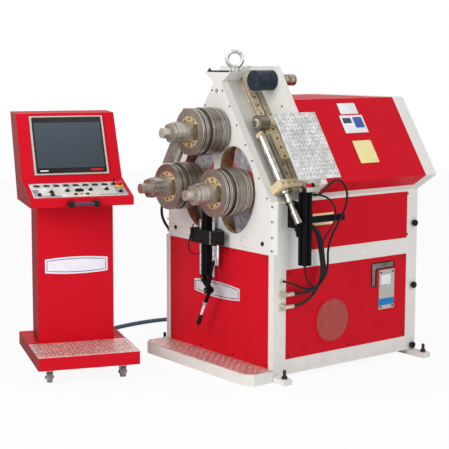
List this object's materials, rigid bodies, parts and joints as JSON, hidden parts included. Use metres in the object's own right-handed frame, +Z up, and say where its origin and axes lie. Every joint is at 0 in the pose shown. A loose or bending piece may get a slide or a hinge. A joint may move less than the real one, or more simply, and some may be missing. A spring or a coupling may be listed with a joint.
{
  "type": "angle bending machine",
  "caption": "Three-roll angle bending machine with swinging lower rolls, slanted side guides, a ridged hood and a separate control console on castors.",
  "frame": {"origin": "on the floor, at the middle of the front plate's face plane", "axes": "+X to the machine's right seen from the front, +Y to the back, +Z up"},
  "size_m": [1.5881, 1.9193, 1.5862],
  "materials": {
    "white_paint": "semi-gloss",
    "red_paint": "semi-gloss",
    "black_paint": "satin",
    "bright_steel": "turned",
    "roll_steel": "blackened",
    "zinc_steel": "passivated",
    "steel_sheet": "satin",
    "tread_sheet": "checker sheet",
    "aluminium_tread": "checker sheet",
    "grey_plastic": "matt",
    "black_rubber": "matt",
    "cable_jacket": "matt",
    "hose_rubber": "matt"
  },
  "bodies": {
    "frame": {"base_cabinet": "white_paint", "button_plate": "grey_plastic", "cabinet_panels": "red_paint", "connection_plate": "steel_sheet", "console_cable": "cable_jacket", "console_gland": "zinc_steel", "console_handle": "bright_steel", "console_head": "red_paint", "console_stand": "red_paint", "foot_bars": "white_paint", "front_plate": "white_paint", "front_step": "red_paint", "guide_rails": "bright_steel", "guide_rams": "zinc_steel", "hood": "white_paint", "hood_cover": "red_paint", "hose_fittings": "zinc_steel", "hose_post": "black_paint", "left_hose": "hose_rubber", "lifting_eye": "bright_steel", "loop_cable": "hose_rubber", "lower_hose": "hose_rubber", "probe_bracket": "black_paint", "rear_plate": "white_paint", "roll_housing": "white_paint", "screen_frame": "steel_sheet", "thin_cable": "hose_rubber", "top_drive": "black_paint", "tread_covers": "aluminium_tread", "tread_sheets": "tread_sheet", "upper_hose": "hose_rubber", "vent_grille": "steel_sheet"},
    "top_spindle": {"top_shaft": "bright_steel", "top_roll": "roll_steel"},
    "right_arm": {"right_swing_arm": "steel_sheet"},
    "left_arm": {"left_swing_arm": "steel_sheet"},
    "right_spindle": {"right_shaft": "bright_steel", "right_roll": "roll_steel"},
    "left_spindle": {"left_shaft": "bright_steel", "left_roll": "roll_steel"},
    "right_guide": {"right_slide": "zinc_steel"},
    "left_guide": {"left_slide": "zinc_steel"},
    "right_guide_wheel": {"right_guide_roll": "roll_steel"},
    "left_guide_wheel": {"left_guide_roll": "roll_steel"},
    "probe_slide": {"probe_profile": "black_paint"},
    "fork_front_left": {"castor_fork_front_left": "bright_steel"},
    "wheel_front_left": {"castor_wheel_front_left": "black_rubber"},
    "fork_front_right": {"castor_fork_front_right": "bright_steel"},
    "wheel_front_right": {"castor_wheel_front_right": "black_rubber"},
    "fork_rear_left": {"castor_fork_rear_left": "bright_steel"},
    "wheel_rear_left": {"castor_wheel_rear_left": "black_rubber"},
    "fork_rear_right": {"castor_fork_rear_right": "bright_steel"},
    "wheel_rear_right": {"castor_wheel_rear_right": "black_rubber"}
  },
  "joints": [
    {"name": "top_roll_spin", "type": "hinge", "parent": "frame", "child": "top_spindle", "pos_m": [0, -0.1, 1.186], "axis": [0, 1, 0], "continuous": true},
    {"name": "right_arm_swing", "type": "hinge", "parent": "frame", "child": "right_arm", "pos_m": [0.054, 0.05, 0.902], "axis": [0, -1, 0], "range_deg": [-38, 38]},
    {"name": "right_roll_spin", "type": "hinge", "parent": "right_arm", "child": "right_spindle", "pos_m": [0.187, -0.1, 0.902], "axis": [0, 1, 0], "continuous": true},
    {"name": "left_arm_swing", "type": "hinge", "parent": "frame", "child": "left_arm", "pos_m": [-0.054, 0.05, 0.902], "axis": [0, 1, 0], "range_deg": [-38, 38]},
    {"name": "left_roll_spin", "type": "hinge", "parent": "left_arm", "child": "left_spindle", "pos_m": [-0.187, -0.1, 0.902], "axis": [0, 1, 0], "continuous": true},
    {"name": "right_guide_travel", "type": "slide", "parent": "frame", "child": "right_guide", "axis": [-0.5689, 0, 0.8224], "range_m": [0, 0.11]},
    {"name": "right_guide_roll_spin", "type": "hinge", "parent": "right_guide", "child": "right_guide_wheel", "pos_m": [0.26269, 0.064, 1.23378], "axis": [0, 1, 0], "continuous": true},
    {"name": "left_guide_travel", "type": "slide", "parent": "frame", "child": "left_guide", "axis": [0.5689, 0, 0.8224], "range_m": [0, 0.11]},
    {"name": "left_guide_roll_spin", "type": "hinge", "parent": "left_guide", "child": "left_guide_wheel", "pos_m": [-0.26269, 0.064, 1.23378], "axis": [0, 1, 0], "continuous": true},
    {"name": "probe_travel", "type": "slide", "parent": "frame", "child": "probe_slide", "axis": [0, 0, 1], "range_m": [0, 0.12]},
    {"name": "castor_swivel_front_left", "type": "hinge", "parent": "frame", "child": "fork_front_left", "pos_m": [-0.18753, -0.85945, 0.06], "axis": [0, 0, 1], "continuous": true},
    {"name": "castor_wheel_spin_front_left", "type": "hinge", "parent": "fork_front_left", "child": "wheel_front_left", "pos_m": [-0.20637, -0.85275, 0.027], "axis": [0.3353, 0.9421, 0], "continuous": true},
    {"name": "castor_swivel_front_right", "type": "hinge", "parent": "frame", "child": "fork_front_right", "pos_m": [-0.06683, -0.52029, 0.06], "axis": [0, 0, 1], "continuous": true},
    {"name": "castor_wheel_spin_front_right", "type": "hinge", "parent": "fork_front_right", "child": "wheel_front_right", "pos_m": [-0.08567, -0.51358, 0.027], "axis": [0.3353, 0.9421, 0], "continuous": true},
    {"name": "castor_swivel_rear_left", "type": "hinge", "parent": "frame", "child": "fork_rear_left", "pos_m": [-0.62279, -0.70455, 0.06], "axis": [0, 0, 1], "continuous": true},
    {"name": "castor_wheel_spin_rear_left", "type": "hinge", "parent": "fork_rear_left", "child": "wheel_rear_left", "pos_m": [-0.64163, -0.69784, 0.027], "axis": [0.3353, 0.9421, 0], "continuous": true},
    {"name": "castor_swivel_rear_right", "type": "hinge", "parent": "frame", "child": "fork_rear_right", "pos_m": [-0.50209, -0.36539, 0.06], "axis": [0, 0, 1], "continuous": true},
    {"name": "castor_wheel_spin_rear_right", "type": "hinge", "parent": "fork_rear_right", "child": "wheel_rear_right", "pos_m": [-0.52093, -0.35868, 0.027], "axis": [0.3353, 0.9421, 0], "continuous": true}
  ]
}
